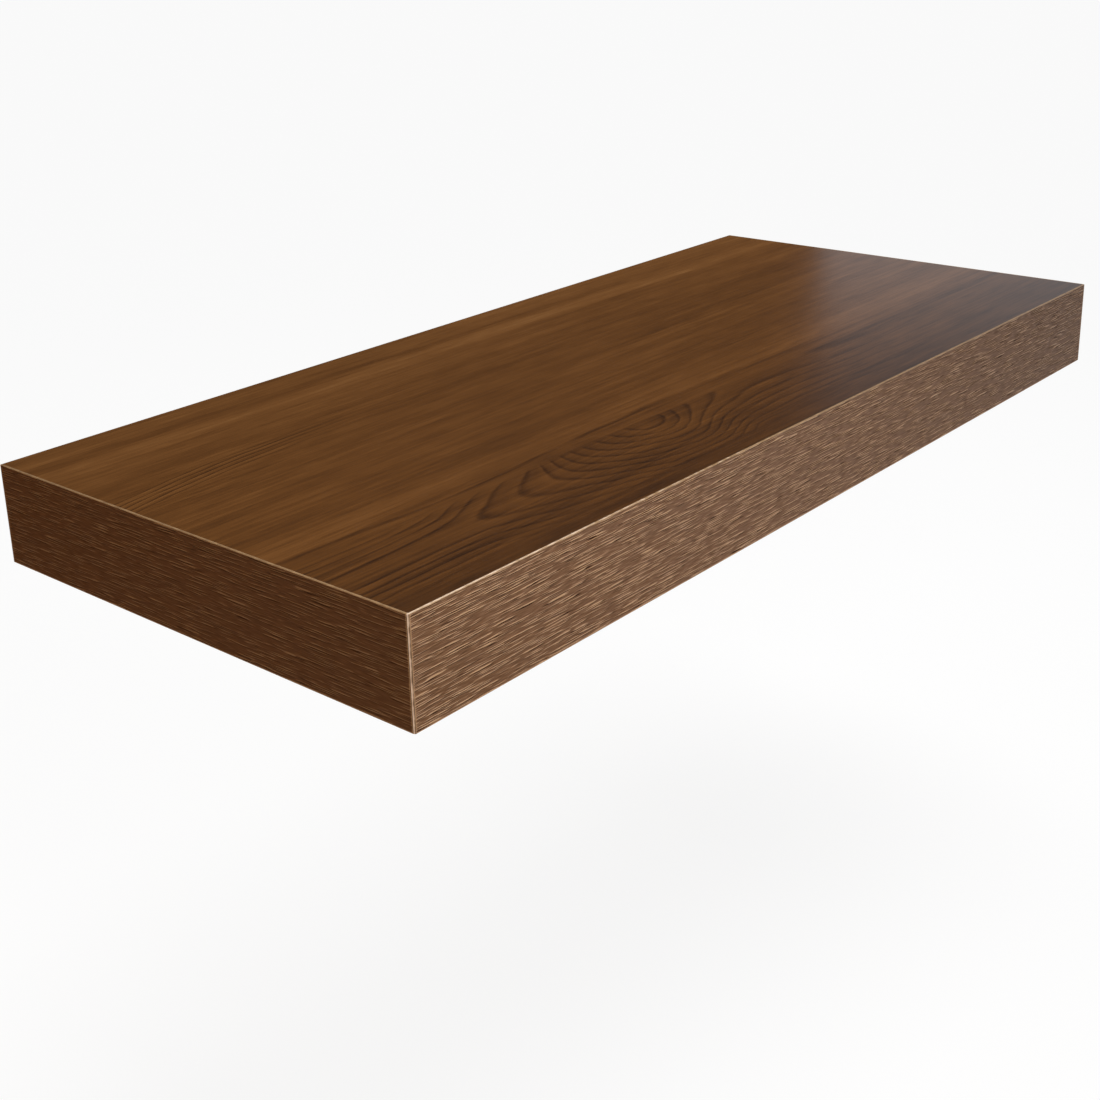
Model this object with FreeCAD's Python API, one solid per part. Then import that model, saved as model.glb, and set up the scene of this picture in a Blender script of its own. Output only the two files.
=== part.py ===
"""Floating wall shelf: a hollow laminated board that slides over the two rods of a hidden steel bracket.

Millimetres. X runs along the shelf, +Y into the wall and +Z up. The origin lies on the wall, at the
middle of the bracket's back face, so the rods' axes are at height zero and the shelf reaches towards -Y.
"""

import FreeCAD
import Part

import math
import os

Vector = FreeCAD.Vector
LEFT = -1
RIGHT = 1
SIDES = {"left": LEFT, "right": RIGHT}

# Board: overall size and layers
shelf_length = 610.0
shelf_depth = 270.0
shelf_thickness = 50.0
decor_film_thickness = 0.4
skin_thickness = 3.0
edge_band_thickness = 1.0
edge_band_bevel = 0.2
edge_band_corner_land = 0.3

# Board: frame rails and the blocks that take the rods
front_rail_width = 40.0
end_rail_width = 36.0
back_rail_width = 40.0
rod_block_width = 60.0

# Board: dowels in the frame's four corners
dowel_diameter = 8.0
dowel_length = 30.0
dowel_end_chamfer = 1.0
dowel_clearance = 0.05
dowel_end_gap = 1.0

# Board: expanded paper honeycomb in the three bays
cell_width = 30.0
paper_thickness = 0.5
honeycomb_side_clearance = 1.0

# Bracket: wall plate
plate_thickness = 4.0
plate_edge_clearance = 5.6
plate_end_clearance = 4.0
plate_corner_radius = 5.0
plate_edge_chamfer = 0.5
screw_head_space = 7.0
screw_hole_diameter = 6.5
slot_length = 16.0
slot_end_distance = 60.8
anchor_hole_share = 0.4

# Bracket: rods and the weld beads around their roots
rod_diameter = 12.0
rod_shoulder = 1.0
rod_inset_from_slot = 53.2
rod_tip_setback = 60.0
rod_tip_chamfer = 1.5
weld_leg = 3.0

# Rod bores in the back rail and the blocks
rod_bore_clearance = 0.3
rod_bore_end_gap = 8.0
rod_bore_lead_in = 1.5
drill_point_share = 0.3

# Locking: threaded inserts in the underside and the grub screws in them
insert_diameter = 9.0
insert_clearance = 0.05
insert_top_cover = 5.0
insert_mouth_chamfer = 0.8
lock_screw_diameter = 6.0
lock_screw_clearance = 0.1
lock_screw_tip_gap = 0.3
lock_screw_recess = 4.5
lock_screw_end_chamfer = 0.8
socket_flats = 3.0
socket_depth = 3.5

# Every cut runs this far past the face it opens, and coordinates are compared to this rounding
cut_overrun = 1.0
coordinate_rounding = 0.000001
hexagon_sides = 6

# Levels of the board's layers, from the middle of its thickness
board_top = shelf_thickness / 2
film_seat = board_top - decor_film_thickness
core_top = film_seat - skin_thickness
core_height = 2 * core_top

# Faces of the board, seen from above
shelf_front = -shelf_depth
board_front = shelf_front + edge_band_thickness
frame_front = board_front + front_rail_width
shelf_half_length = shelf_length / 2
board_half_length = shelf_half_length - edge_band_thickness
frame_half_length = board_half_length - end_rail_width
channel_depth = plate_thickness + screw_head_space
back_rail_rear = -channel_depth
back_rail_front = back_rail_rear - back_rail_width
back_rail_middle = (back_rail_rear + back_rail_front) / 2

# Places along the bracket
plate_half_length = frame_half_length - plate_end_clearance
plate_height = core_height - 2 * plate_edge_clearance
slot_place = plate_half_length - slot_end_distance
rod_place = slot_place - rod_inset_from_slot
anchor_hole_place = anchor_hole_share * rod_place
rod_radius = rod_diameter / 2
spigot_radius = rod_radius - rod_shoulder
rod_root = -plate_thickness
rod_tip = frame_front + rod_tip_setback
rod_bore_radius = rod_radius + rod_bore_clearance
rod_bore_end = rod_tip - rod_bore_end_gap

# Levels of the locking hardware
insert_top = -rod_bore_radius - insert_top_cover
lock_screw_tip = -rod_radius - lock_screw_tip_gap
lock_screw_foot = -board_top + lock_screw_recess


def block(x_span, y_span, z_span):
    """A square-edged solid between the given limits."""
    corner = Vector(x_span[0], y_span[0], z_span[0])
    return Part.makeBox(x_span[1] - x_span[0], y_span[1] - y_span[0], z_span[1] - z_span[0], corner)


def round_bar(radius, start, end):
    """A round bar from one point to another."""
    return Part.makeCylinder(radius, (end - start).Length, start, end - start)


def taper(start_radius, end_radius, start, end):
    """A cone or cone frustum from one point to another."""
    return Part.makeCone(start_radius, end_radius, (end - start).Length, start, end - start)


def edges_where(shape, wanted):
    """The edges whose middle point satisfies a condition."""
    chosen = []
    for edge in shape.Edges:
        middle = (edge.FirstParameter + edge.LastParameter) / 2
        if wanted(edge.valueAt(middle)):
            chosen.append(edge)
    return chosen


def same(a, b):
    """Whether two coordinates are equal, apart from rounding."""
    return math.isclose(a, b, abs_tol=coordinate_rounding)


def decor_film(level):
    """The printed melamine film on one face of the board, as wide as the board without its edge bands."""
    return block((-board_half_length, board_half_length), (board_front, 0), level)


def skin(level):
    """One of the two fibreboard skins."""
    return block((-board_half_length, board_half_length), (board_front, 0), level)


def insert_hole(side):
    """The hole for a threaded insert, from the underside up into the rod bore."""
    centre = Vector(side * rod_place, back_rail_middle, 0)
    foot = Vector(centre.x, centre.y, -board_top - cut_overrun)
    return round_bar(insert_diameter / 2 + insert_clearance, foot, centre)


def with_insert_holes(shape):
    """A piece of the underside, drilled for both inserts."""
    for side in SIDES.values():
        shape = shape.cut(insert_hole(side))
    return shape


def dowel_lines():
    """The middle and direction of each dowel: one at each corner of the frame, at half its height."""
    lines = []
    for side in SIDES.values():
        end_rail_middle = side * (frame_half_length + end_rail_width / 2)
        lines.append((Vector(end_rail_middle, frame_front, 0), Vector(0, 1, 0)))
        lines.append((Vector(side * frame_half_length, back_rail_middle, 0), Vector(side, 0, 0)))
    return lines


def with_dowel_holes(shape):
    """A frame rail, drilled for the dowels that reach into it."""
    radius = dowel_diameter / 2 + dowel_clearance
    for middle, direction in dowel_lines():
        reach = direction * (dowel_length / 2 + dowel_end_gap)
        shape = shape.cut(round_bar(radius, middle - reach, middle + reach))
    return shape


def frame_dowels():
    """Beech dowels glued into the corner joints, with chamfered ends."""
    dowels = []
    for middle, direction in dowel_lines():
        half = direction * (dowel_length / 2)
        dowel = round_bar(dowel_diameter / 2, middle - half, middle + half)
        rims = [edge for edge in dowel.Edges if edge.isClosed()]
        dowels.append(dowel.makeChamfer(dowel_end_chamfer, rims))
    return Part.makeCompound(dowels)


def front_rail():
    """The chipboard rail behind the front edge band, as long as the board."""
    rail = block((-board_half_length, board_half_length), (board_front, frame_front), (-core_top, core_top))
    return with_dowel_holes(rail)


def end_rail(side):
    """A chipboard rail at one end, from the front rail to the wall."""
    span = sorted((side * frame_half_length, side * board_half_length))
    return with_dowel_holes(block(span, (frame_front, 0), (-core_top, core_top)))


def rod_bore(side):
    """The round hole that slides over a rod, countersunk at the rear and ending in a drill point."""
    mouth = Vector(side * rod_place, back_rail_rear, 0)
    outside = Vector(mouth.x, mouth.y + cut_overrun, mouth.z)
    end = Vector(mouth.x, rod_bore_end, mouth.z)
    point = Vector(mouth.x, rod_bore_end - drill_point_share * 2 * rod_bore_radius, mouth.z)
    lead_in_end = Vector(mouth.x, mouth.y - rod_bore_lead_in, mouth.z)
    bore = round_bar(rod_bore_radius, outside, end)
    bore = bore.fuse(taper(rod_bore_radius, 0, end, point))
    return bore.fuse(taper(rod_bore_radius + rod_bore_lead_in, rod_bore_radius, mouth, lead_in_end))


def back_rail():
    """The chipboard rail set in from the wall, which leaves a channel for the bracket's plate."""
    rail = block(
        (-frame_half_length, frame_half_length), (back_rail_front, back_rail_rear), (-core_top, core_top)
    )
    for side in SIDES.values():
        rail = rail.cut(rod_bore(side))
    return with_dowel_holes(with_insert_holes(rail))


def rod_block(side):
    """A chipboard block between the front and back rails, bored for a rod."""
    span = (side * rod_place - rod_block_width / 2, side * rod_place + rod_block_width / 2)
    return block(span, (frame_front, back_rail_front), (-core_top, core_top)).cut(rod_bore(side))


def cell_outline(centre):
    """The inside of one honeycomb cell: double paper on its two glued sides, single on the four others."""
    half = cell_width / 2
    glued = half - paper_thickness
    shoulder = half / math.sqrt(3)
    tip = (half - paper_thickness / 2) / math.cos(math.pi / hexagon_sides)
    half_outline = [(glued, shoulder), (0, tip), (-glued, shoulder)]
    outline = half_outline + [(-x, -y) for x, y in half_outline]
    corners = [centre + Vector(x, y, 0) for x, y in outline]
    return Part.Face(Part.makePolygon(corners + corners[:1]))


def honeycomb(x_span):
    """Expanded paper honeycomb that fills one bay from skin to skin, cut straight through at its edges."""
    x_low, x_high = x_span[0] + honeycomb_side_clearance, x_span[1] - honeycomb_side_clearance
    y_low, y_high = frame_front + honeycomb_side_clearance, back_rail_front - honeycomb_side_clearance
    row_pitch = cell_width * math.sqrt(3) / 2
    middle = Vector((x_low + x_high) / 2, (y_low + y_high) / 2, -core_top)
    columns = math.ceil((x_high - x_low) / cell_width / 2) + 1
    rows = math.ceil((y_high - y_low) / row_pitch / 2) + 1
    cells = []
    for row in range(-rows, rows + 1):
        shift = cell_width / 2 if row % 2 else 0
        for column in range(-columns, columns + 1):
            cells.append(cell_outline(middle + Vector(column * cell_width + shift, row * row_pitch, 0)))
    sheet = Part.makePlane(x_high - x_low, y_high - y_low, Vector(x_low, y_low, -core_top))
    net = max(sheet.cut(Part.makeCompound(cells)).Faces, key=lambda face: face.Area)
    return net.extrude(Vector(0, 0, core_height))


def trimmed(band, bevel, is_trimmed_edge):
    """An edge band after some of its edges have been trimmed to a bevel."""
    return band.makeChamfer(bevel, edges_where(band, is_trimmed_edge))


def front_edge_band():
    """The plastic edge band on the front, which covers the front ends of the end bands."""
    band = block((-shelf_half_length, shelf_half_length), (shelf_front, board_front), (-board_top, board_top))

    def is_corner(point):
        return same(abs(point.x), shelf_half_length) and same(point.y, shelf_front)

    def is_outer_rim(point):
        return same(abs(point.z), board_top) and not same(point.y, board_front)

    band = trimmed(band, edge_band_thickness - edge_band_corner_land, is_corner)
    return trimmed(band, edge_band_bevel, is_outer_rim)


def end_edge_band(side):
    """The plastic edge band on one end, from the front band to the wall."""
    span = sorted((side * board_half_length, side * shelf_half_length))
    band = block(span, (board_front, 0), (-board_top, board_top))

    def is_long_edge(point):
        return same(abs(point.x), shelf_half_length) and same(abs(point.z), board_top)

    return trimmed(band, edge_band_bevel, is_long_edge)


def slot(x):
    """A slotted screw hole through the plate, long enough to meet a stud beside its nominal place."""
    radius = screw_hole_diameter / 2
    reach = slot_length / 2 - radius
    y_span = (-plate_thickness - cut_overrun, cut_overrun)
    hole = block((x - reach, x + reach), y_span, (-radius, radius))
    for end in (x - reach, x + reach):
        hole = hole.fuse(round_bar(radius, Vector(end, y_span[0], 0), Vector(end, y_span[1], 0)))
    return hole.removeSplitter()


def bracket_plate():
    """The steel bar on the wall: rounded corners, a broken front edge, screw slots, anchor and rod holes."""
    plate = block(
        (-plate_half_length, plate_half_length), (-plate_thickness, 0), (-plate_height / 2, plate_height / 2)
    )
    corners = edges_where(plate, lambda p: same(p.y, -plate_thickness / 2))
    plate = plate.makeFillet(plate_corner_radius, corners)
    front_rim = edges_where(plate, lambda p: same(p.y, -plate_thickness))
    plate = plate.makeChamfer(plate_edge_chamfer, front_rim)
    holes = []
    for side in SIDES.values():
        holes.append(slot(side * slot_place))
        for place, radius in ((anchor_hole_place, screw_hole_diameter / 2), (rod_place, spigot_radius)):
            front = Vector(side * place, -plate_thickness - cut_overrun, 0)
            holes.append(round_bar(radius, front, Vector(side * place, cut_overrun, 0)))
    return plate.cut(Part.makeCompound(holes))


def support_rod(side):
    """A steel rod: a spigot through the plate, a shoulder on its front face and a chamfered tip."""
    back, root, tip = (Vector(side * rod_place, y, 0) for y in (0, rod_root, rod_tip))
    rod = round_bar(rod_radius, root, tip)
    rod = rod.makeChamfer(rod_tip_chamfer, edges_where(rod, lambda p: same(p.y, rod_tip)))
    return rod.fuse(round_bar(spigot_radius, root, back)).removeSplitter()


def rod_welds():
    """A fillet weld around the root of each rod, on the front face of the plate."""
    welds = []
    for side in SIDES.values():
        root = Vector(side * rod_place, rod_root, 0)
        crest = Vector(root.x, rod_root - weld_leg, root.z)
        bead = taper(rod_radius + weld_leg, rod_radius, root, crest)
        welds.append(bead.cut(round_bar(rod_radius, root, crest)))
    return Part.makeCompound(welds)


def lock_insert(side):
    """A threaded insert driven into the underside, flush with the film, with a countersunk mouth."""
    foot = Vector(side * rod_place, back_rail_middle, -board_top)
    head = Vector(foot.x, foot.y, insert_top)
    bore_radius = lock_screw_diameter / 2 + lock_screw_clearance
    mouth_end = Vector(foot.x, foot.y, foot.z + insert_mouth_chamfer)
    insert = round_bar(insert_diameter / 2, foot, head).cut(round_bar(bore_radius, foot, head))
    return insert.cut(taper(bore_radius + insert_mouth_chamfer, bore_radius, foot, mouth_end))


def lock_screw(side):
    """A grub screw that clamps the rod from below: chamfered ends and a hexagon socket in its foot."""
    foot = Vector(side * rod_place, back_rail_middle, lock_screw_foot)
    tip = Vector(foot.x, foot.y, lock_screw_tip)
    screw = round_bar(lock_screw_diameter / 2, foot, tip)
    rims = [edge for edge in screw.Edges if edge.isClosed()]
    screw = screw.makeChamfer(lock_screw_end_chamfer, rims)
    socket_corner = socket_flats / math.sqrt(3)
    corners = []
    for turn in range(hexagon_sides + 1):
        angle = math.tau * turn / hexagon_sides
        corners.append(foot + Vector(socket_corner * math.cos(angle), socket_corner * math.sin(angle), 0))
    socket = Part.Face(Part.makePolygon(corners)).extrude(Vector(0, 0, socket_depth))
    return screw.cut(socket)


def pieces():
    """Every piece of the shelf by its name."""
    block_inner = rod_place - rod_block_width / 2
    block_outer = rod_place + rod_block_width / 2
    made = {
        "top_decor_film": decor_film((film_seat, board_top)),
        "bottom_decor_film": with_insert_holes(decor_film((-board_top, -film_seat))),
        "top_skin": skin((core_top, film_seat)),
        "bottom_skin": with_insert_holes(skin((-film_seat, -core_top))),
        "front_rail": front_rail(),
        "back_rail": back_rail(),
        "frame_dowels": frame_dowels(),
        "left_honeycomb": honeycomb((-frame_half_length, -block_outer)),
        "centre_honeycomb": honeycomb((-block_inner, block_inner)),
        "right_honeycomb": honeycomb((block_outer, frame_half_length)),
        "front_edge_band": front_edge_band(),
        "bracket_plate": bracket_plate(),
        "rod_welds": rod_welds(),
    }
    for name, side in SIDES.items():
        made[name + "_end_rail"] = end_rail(side)
        made[name + "_rod_block"] = rod_block(side)
        made[name + "_edge_band"] = end_edge_band(side)
        made[name + "_support_rod"] = support_rod(side)
        made[name + "_lock_insert"] = lock_insert(side)
        made[name + "_lock_screw"] = lock_screw(side)
    return made


os.makedirs("parts", exist_ok=True)
for name, shape in pieces().items():
    shape.exportStep(os.path.join("parts", name + ".step"))
    print(name, len(shape.Solids), "solids", shape.isValid(), round(shape.Volume), "mm3")
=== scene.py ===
import math

import bpy
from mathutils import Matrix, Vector, noise


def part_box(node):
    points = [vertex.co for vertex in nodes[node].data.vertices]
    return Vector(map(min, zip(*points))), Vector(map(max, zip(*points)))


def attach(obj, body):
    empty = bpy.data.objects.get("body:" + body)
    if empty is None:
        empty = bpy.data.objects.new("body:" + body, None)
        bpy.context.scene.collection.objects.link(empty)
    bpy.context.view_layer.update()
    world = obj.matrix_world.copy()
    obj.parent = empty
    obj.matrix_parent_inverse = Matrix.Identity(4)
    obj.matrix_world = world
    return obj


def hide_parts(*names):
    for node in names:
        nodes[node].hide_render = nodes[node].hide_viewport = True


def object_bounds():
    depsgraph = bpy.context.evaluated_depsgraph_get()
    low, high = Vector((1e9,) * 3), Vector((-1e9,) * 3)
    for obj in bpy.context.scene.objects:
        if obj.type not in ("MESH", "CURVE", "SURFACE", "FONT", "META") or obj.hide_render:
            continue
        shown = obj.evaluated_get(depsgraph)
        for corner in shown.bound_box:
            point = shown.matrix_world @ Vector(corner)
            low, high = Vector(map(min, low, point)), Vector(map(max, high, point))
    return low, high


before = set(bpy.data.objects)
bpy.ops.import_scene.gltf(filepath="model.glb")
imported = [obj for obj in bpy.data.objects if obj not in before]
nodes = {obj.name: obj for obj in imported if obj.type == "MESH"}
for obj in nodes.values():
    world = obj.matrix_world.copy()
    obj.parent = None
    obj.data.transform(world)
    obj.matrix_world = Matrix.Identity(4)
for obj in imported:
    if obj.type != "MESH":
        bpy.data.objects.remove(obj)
cad_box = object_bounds()


# Bracket plate
# A flat steel bar, sheared to length and punched for the screws, then zinc plated with its rods welded on.
# It is screwed to the wall, and the shelf hides it once it is pushed home.

MM = 0.001
passivation_cloud_mm = (14, 14, 14)
rolling_marks_mm = (70, 0.5, 0.5)
mark_depth = 0.05 * MM


def linear(colour):
    """A colour written as sRGB hex, in the linear values that shaders use."""
    shares = [int(colour[i:i + 2], 16) / 255 for i in (1, 3, 5)]
    return [c / 12.92 if c <= 0.04045 else ((c + 0.055) / 1.055) ** 2.4 for c in shares] + [1.0]


def feature_size(*sizes_mm):
    """The texture scale that draws a pattern with features of these sizes along X, Y and Z."""
    return [1 / (size * MM) for size in sizes_mm]


def add_node(tree, kind, inputs=None, points=None, stops=None, **settings):
    """Adds a shader node. An input is a value, a socket, or a node, which stands for its first output."""
    made = tree.nodes.new("ShaderNode" + kind)
    for name, value in settings.items():
        setattr(made, name, value)
    for place, value in (inputs or {}).items():
        if isinstance(value, bpy.types.Node):
            value = value.outputs[0]
        if isinstance(value, bpy.types.NodeSocket):
            tree.links.new(value, made.inputs[place])
        else:
            made.inputs[place].default_value = value
    if points:
        curve = made.mapping.curves[0]
        curve.points[0].location = points[0]
        curve.points[1].location = points[-1]
        for point in points[1:-1]:
            curve.points.new(*point)
        made.mapping.update()
    if stops:
        ramp = made.color_ramp.elements
        ramp[0].position = stops[0][0]
        ramp[1].position = stops[-1][0]
        for place, colour in stops[1:-1]:
            ramp.new(place)
        for element, (place, colour) in zip(ramp, stops):
            element.color = linear(colour)
    return made


def new_material(name):
    """An empty material: its node tree and its main shader, already linked to the output."""
    material = bpy.data.materials.new(name)
    material.use_nodes = True
    tree = material.node_tree
    tree.nodes.clear()
    shader = add_node(tree, "BsdfPrincipled")
    add_node(tree, "OutputMaterial", {"Surface": shader})
    return material, tree, shader


def connect(tree, shader, **sockets):
    """Links nodes to the main shader's sockets; an underscore stands for a space."""
    for name, source in sockets.items():
        tree.links.new(source.outputs[0], shader.inputs[name.replace("_", " ")])


def dress(material, *names):
    """Gives CAD pieces their finish."""
    for name in names:
        nodes[name].data.materials.clear()
        nodes[name].data.materials.append(material)


def zinc_plated_steel(name, marks_mm):
    """Bright zinc over rolled or drawn steel: a cool grey metal, faintly clouded by its clear passivation.

    The tool marks under the plating show as fine lines. They are finer than the picture can hold, so they
    are drawn a few tenths of a millimetre wide.
    """
    material, tree, shader = new_material(name)
    shader.inputs["Metallic"].default_value = 1.0
    place = add_node(tree, "TexCoord").outputs["Object"]
    cloud_place = add_node(tree, "Mapping", {"Vector": place, "Scale": feature_size(*passivation_cloud_mm)})
    cloud = add_node(tree, "TexNoise", {"Vector": cloud_place, "Scale": 1.0, "Detail": 4.0})
    colour = add_node(
        tree, "ValToRGB", {0: cloud}, stops=[(0.3, "#a9adb2"), (0.55, "#c3c6c8"), (0.75, "#cfcdc2")]
    )
    mark_place = add_node(tree, "Mapping", {"Vector": place, "Scale": feature_size(*marks_mm)})
    marks = add_node(tree, "TexNoise", {"Vector": mark_place, "Scale": 1.0, "Detail": 3.0})
    rough = add_node(tree, "MapRange", {"Value": marks, "To Min": 0.26, "To Max": 0.46})
    bump = add_node(tree, "Bump", {"Height": marks, "Strength": 0.25, "Distance": mark_depth})
    connect(tree, shader, Base_Color=colour, Roughness=rough, Normal=bump)
    return material


dress(zinc_plated_steel("zinc_plated_rolled_bar", rolling_marks_mm), "bracket_plate")


# Support rods
# Drawn steel round bar, turned to a shoulder and a chamfered tip. Each is set in its hole in the plate and
# welded from the front, and the board slides over it.

drawing_marks_mm = (0.6, 60, 0.6)

dress(zinc_plated_steel("zinc_plated_drawn_rod", drawing_marks_mm), "left_support_rod", "right_support_rod")


# Weld beads
# One fillet weld round the root of each rod, laid by hand in overlapping pools that leave crescent ripples,
# and plated over with the rest of the bracket.

weld_low, weld_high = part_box("rod_welds")
rod_low, rod_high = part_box("right_support_rod")
rod_x = (rod_low.x + rod_high.x) / 2
rod_radius = (rod_high.x - rod_low.x) / 2
weld_leg = weld_high.y - weld_low.y
weld_pools = 17
weld_turn_steps = 153
weld_profile_steps = 9
weld_crown_share = 0.14
weld_ripple_share = 0.13
weld_crown = weld_crown_share * weld_leg
weld_ripple = weld_ripple_share * weld_leg
weld_crescent_lag = 0.9
diagonal = math.sqrt(0.5)
weld_marks_mm = (0.8, 0.8, 0.8)


def mesh_piece(name, points, faces, materials):
    """A new mesh object in the shelf's own frame, smooth all over, with its finishes."""
    mesh = bpy.data.meshes.new(name)
    mesh.from_pydata(points, [], faces)
    mesh.polygons.foreach_set("use_smooth", [True] * len(faces))
    for material in materials:
        mesh.materials.append(material)
    mesh.update()
    piece = bpy.data.objects.new(name, mesh)
    bpy.context.scene.collection.objects.link(piece)
    return piece


def ring_faces(rings, per_ring, first=0, closed=False):
    """Quads that join rings of points, each ring with the next, and the last with the first if closed."""
    faces = []
    for ring in range(rings if closed else rings - 1):
        low = first + ring * per_ring
        high = first + (ring + 1) % rings * per_ring
        for step in range(per_ring):
            beside = (step + 1) % per_ring
            faces.append((low + step, low + beside, high + beside, high + step))
    return faces


weld_points = []
weld_faces = []
for centre_x in (-rod_x, rod_x):
    first_point = len(weld_points)
    for turn_step in range(weld_turn_steps):
        turn = math.tau * turn_step / weld_turn_steps
        outward = Vector((math.cos(turn), 0, math.sin(turn)))
        root = Vector((centre_x, weld_high.y, 0)) + outward * rod_radius
        section = [root]
        for profile_step in range(weld_profile_steps):
            share = profile_step / (weld_profile_steps - 1)
            # A parabola across the bead: 0 at its toes and 1 in its middle.
            belly = 4 * share * (1 - share)
            pool = (weld_pools * turn / math.tau + weld_crescent_lag * belly) % 1
            swell = belly * (weld_crown + weld_ripple * (pool - 0.5))
            along_plate = weld_leg * (1 - share) + swell * diagonal - weld_ripple * belly
            off_plate = weld_leg * share + swell * diagonal - weld_ripple * belly
            section.append(root + outward * along_plate + Vector((0, -off_plate, 0)))
        weld_points += section
    weld_faces += ring_faces(weld_turn_steps, weld_profile_steps + 1, first_point, closed=True)

weld_beads = mesh_piece(
    "rod_weld_beads", weld_points, weld_faces, [zinc_plated_steel("zinc_plated_weld", weld_marks_mm)]
)
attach(weld_beads, "wall_bracket")
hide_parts("rod_welds")


# Frame rails and rod blocks
# Sawn strips of chipboard, glued and dowelled into a frame, with two bored blocks for the bracket's rods.
# Only their rear ends show, in the channel that the bracket fills.

chip_mm = 2.4
chip_bend_mm = (6, 6, 6)
most_chip_bend = 3 * MM
glue_line_share = 0.12
chip_relief = 0.2 * MM
dust_mm = 0.5

chipboard, tree, shader = new_material("sawn_chipboard")
# Pressed wood chips, sawn through: tan flakes of many tones with darker glue lines between them.
shader.inputs["Specular IOR Level"].default_value = 0.25
place = add_node(tree, "TexCoord").outputs["Object"]
bent_place = add_node(tree, "Mapping", {"Vector": place, "Scale": feature_size(*chip_bend_mm)})
bend = add_node(tree, "TexNoise", {"Vector": bent_place, "Scale": 1.0, "Detail": 2.0})
shifted = add_node(
    tree, "VectorMath", {0: bend.outputs["Color"], "Scale": most_chip_bend}, operation="SCALE"
)
chip_place = add_node(tree, "VectorMath", {0: place, 1: shifted}, operation="ADD")
chips = add_node(tree, "TexVoronoi", {"Vector": chip_place, "Scale": 1 / (chip_mm * MM), "Randomness": 1.0})
chip_edges = add_node(
    tree, "TexVoronoi", {"Vector": chip_place, "Scale": 1 / (chip_mm * MM)}, feature="DISTANCE_TO_EDGE"
)
chip_tone = add_node(tree, "SeparateColor", {0: chips.outputs["Color"]})
chip_colour = add_node(
    tree, "ValToRGB", {0: chip_tone},
    stops=[(0.0, "#8d6a41"), (0.3, "#b08a58"), (0.6, "#c6a16e"), (0.85, "#d6b888"), (1.0, "#9c7446")],
)
glue = add_node(tree, "MapRange", {"Value": chip_edges, "From Max": glue_line_share, "To Min": 0.62})
glued_colour = add_node(
    tree, "Mix", {"Factor": 1.0, 6: chip_colour, 7: glue}, data_type="RGBA", blend_type="MULTIPLY"
)
dust = add_node(tree, "TexNoise", {"Vector": place, "Scale": 1 / (dust_mm * MM), "Detail": 2.0})
dust_light = add_node(tree, "MapRange", {"Value": dust, "To Min": 0.8, "To Max": 1.15})
dusty_colour = add_node(
    tree, "Mix", {"Factor": 1.0, 6: glued_colour.outputs[2], 7: dust_light},
    data_type="RGBA", blend_type="MULTIPLY",
)
rough = add_node(tree, "MapRange", {"Value": dust, "To Min": 0.75, "To Max": 0.95})
chip_bump = add_node(tree, "Bump", {"Height": chip_edges, "Strength": 0.6, "Distance": chip_relief})
tree.links.new(dusty_colour.outputs[2], shader.inputs["Base Color"])
connect(tree, shader, Roughness=rough, Normal=chip_bump)

dress(
    chipboard,
    "front_rail", "back_rail", "left_end_rail", "right_end_rail", "left_rod_block", "right_rod_block",
)


# Frame dowels
# Beech pegs, turned and cut to length, then glued into bored holes at the four corners of the frame.
# They are inside the finished board.

ray_fleck_mm = (1.2, 1.2, 1.2)
beech_grain_mm = (9, 9, 1.0)

beech, tree, shader = new_material("turned_beech")
# Pale pinkish wood with a fine even grain and small darker ray flecks, left raw and dull.
place = add_node(tree, "TexCoord").outputs["Object"]
grain_place = add_node(tree, "Mapping", {"Vector": place, "Scale": feature_size(*beech_grain_mm)})
grain = add_node(tree, "TexNoise", {"Vector": grain_place, "Scale": 1.0, "Detail": 4.0})
fleck_place = add_node(tree, "Mapping", {"Vector": place, "Scale": feature_size(*ray_fleck_mm)})
flecks = add_node(tree, "TexNoise", {"Vector": fleck_place, "Scale": 1.0, "Detail": 1.0})
beech_tone = add_node(tree, "Math", {0: grain, 1: flecks}, operation="MULTIPLY")
beech_colour = add_node(
    tree, "ValToRGB", {0: beech_tone}, stops=[(0.1, "#b98a5f"), (0.3, "#d2a87c"), (0.45, "#e0bd94")]
)
beech_rough = add_node(tree, "MapRange", {"Value": grain, "To Min": 0.6, "To Max": 0.8})
connect(tree, shader, Base_Color=beech_colour, Roughness=beech_rough)

dress(beech, "frame_dowels")


# Honeycomb core
# Strips of brown kraft paper glued in lines and pulled open into cells, then glued between the skins.
# It fills the three bays of the frame and keeps the board light.

kraft_fibre_mm = (5, 5, 0.8)
kraft_relief = 0.05 * MM

kraft_paper, tree, shader = new_material("kraft_paper")
# Unbleached paper: warm brown, dull, with a faint cloud of long fibres.
shader.inputs["Specular IOR Level"].default_value = 0.2
place = add_node(tree, "TexCoord").outputs["Object"]
fibre_place = add_node(tree, "Mapping", {"Vector": place, "Scale": feature_size(*kraft_fibre_mm)})
fibres = add_node(tree, "TexNoise", {"Vector": fibre_place, "Scale": 1.0, "Detail": 5.0})
kraft_colour = add_node(
    tree, "ValToRGB", {0: fibres}, stops=[(0.3, "#94703f"), (0.5, "#ad875a"), (0.7, "#bd9a6d")]
)
kraft_rough = add_node(tree, "MapRange", {"Value": fibres, "To Min": 0.8, "To Max": 0.95})
kraft_bump = add_node(tree, "Bump", {"Height": fibres, "Strength": 0.3, "Distance": kraft_relief})
connect(tree, shader, Base_Color=kraft_colour, Roughness=kraft_rough, Normal=kraft_bump)

dress(kraft_paper, "left_honeycomb", "centre_honeycomb", "right_honeycomb")


# Fibreboard skins
# Thin sheets of hard fibreboard, made of wood fibres pressed with heat. They are glued to both faces of the
# frame and core, and their sawn edge shows at the rear.

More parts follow.
